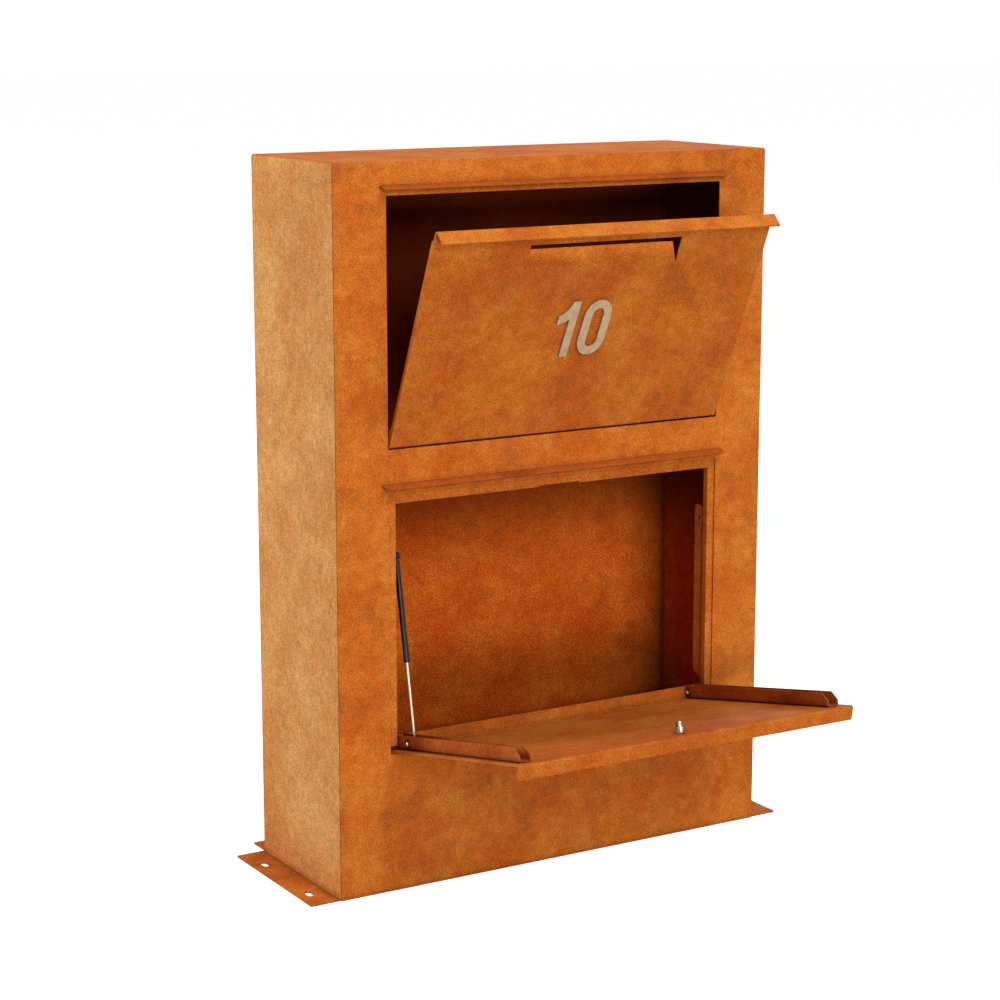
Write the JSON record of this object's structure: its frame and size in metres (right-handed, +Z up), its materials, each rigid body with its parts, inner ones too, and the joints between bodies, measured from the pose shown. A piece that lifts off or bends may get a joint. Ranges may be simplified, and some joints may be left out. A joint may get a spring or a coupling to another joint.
{
  "type": "parcel mailbox",
  "caption": "Free-standing parcel mailbox of rusted folded sheet steel, with a tilting drop flap above, a drop-down door on a gas strut below and slotted foot flanges.",
  "frame": {"origin": "under the middle of the whole box, doors open, on the floor", "axes": "+Z up, the front with its flap and door faces -Y, +X to the right of a person who faces it"},
  "size_m": [0.7848, 0.6078, 1],
  "materials": {
    "rust": "matt weathered rust",
    "inner_rust": "matt rust, darker",
    "number_metal": "satin",
    "dark_bolt": "dull dark steel",
    "bright_steel": "bright plated",
    "black_paint": "black paint",
    "polished_rod": "polished"
  },
  "bodies": {
    "cabinet": {"body_wrap": "rust", "front_panel": "rust", "back_panel": "rust", "floor_shelf": "inner_rust", "upper_drip_strip": "rust", "lower_drip_strip": "rust", "door_stop_frame": "rust", "side_plate_left": "inner_rust", "side_plate_right": "inner_rust", "flap_bracket_left": "inner_rust", "flap_bracket_right": "inner_rust", "strut_top_stud": "dark_bolt"},
    "flap": {"flap_panel": "rust", "flap_pin_left": "bright_steel", "flap_pin_right": "bright_steel", "digit_one": "number_metal", "digit_zero": "number_metal"},
    "door": {"door_panel": "rust", "door_channel_left": "inner_rust", "door_channel_right": "inner_rust", "hinge_bolt_left": "dark_bolt", "hinge_bolt_right": "dark_bolt", "hinge_nut_left": "dark_bolt", "hinge_nut_right": "dark_bolt", "strut_foot_bolt": "dark_bolt", "lock_barrel": "bright_steel", "lock_nut": "bright_steel"},
    "lock": {"lock_plug": "bright_steel", "lock_cam": "bright_steel", "cam_screw": "bright_steel"},
    "strut_cylinder": {"strut_tube": "black_paint", "strut_top_eye": "black_paint"},
    "strut_piston": {"strut_rod": "polished_rod", "strut_foot_eye": "bright_steel"}
  },
  "joints": [
    {"name": "flap_hinge", "type": "hinge", "parent": "cabinet", "child": "flap", "pos_m": [0, 0.03136, 0.6255], "axis": [1, 0, 0], "range_deg": [-23.66, 0]},
    {"name": "door_hinge", "type": "hinge", "parent": "cabinet", "child": "door", "pos_m": [0, 0.03686, 0.2085], "axis": [1, 0, 0], "range_deg": [-78.5, 0]},
    {"name": "lock_turn", "type": "hinge", "parent": "door", "child": "lock", "pos_m": [-0.002, -0.27861, 0.26299], "axis": [0, 0.1994, 0.9799], "range_deg": [-149, 0]},
    {"name": "strut_swing", "type": "hinge", "parent": "cabinet", "child": "strut_cylinder", "pos_m": [-0.244, 0.05136, 0.4665], "axis": [1, 0, 0], "range_deg": [0, 7.49]},
    {"name": "strut_slide", "type": "slide", "parent": "strut_cylinder", "child": "strut_piston", "axis": [0, -0.1947, -0.9809], "range_m": [-0.0333, 0]}
  ],
  "couplings": [
    {"joint": "strut_swing", "follows": "door_hinge", "ratio": -0.095387},
    {"joint": "strut_slide", "follows": "door_hinge", "m_per_rad": 0.024262}
  ]
}
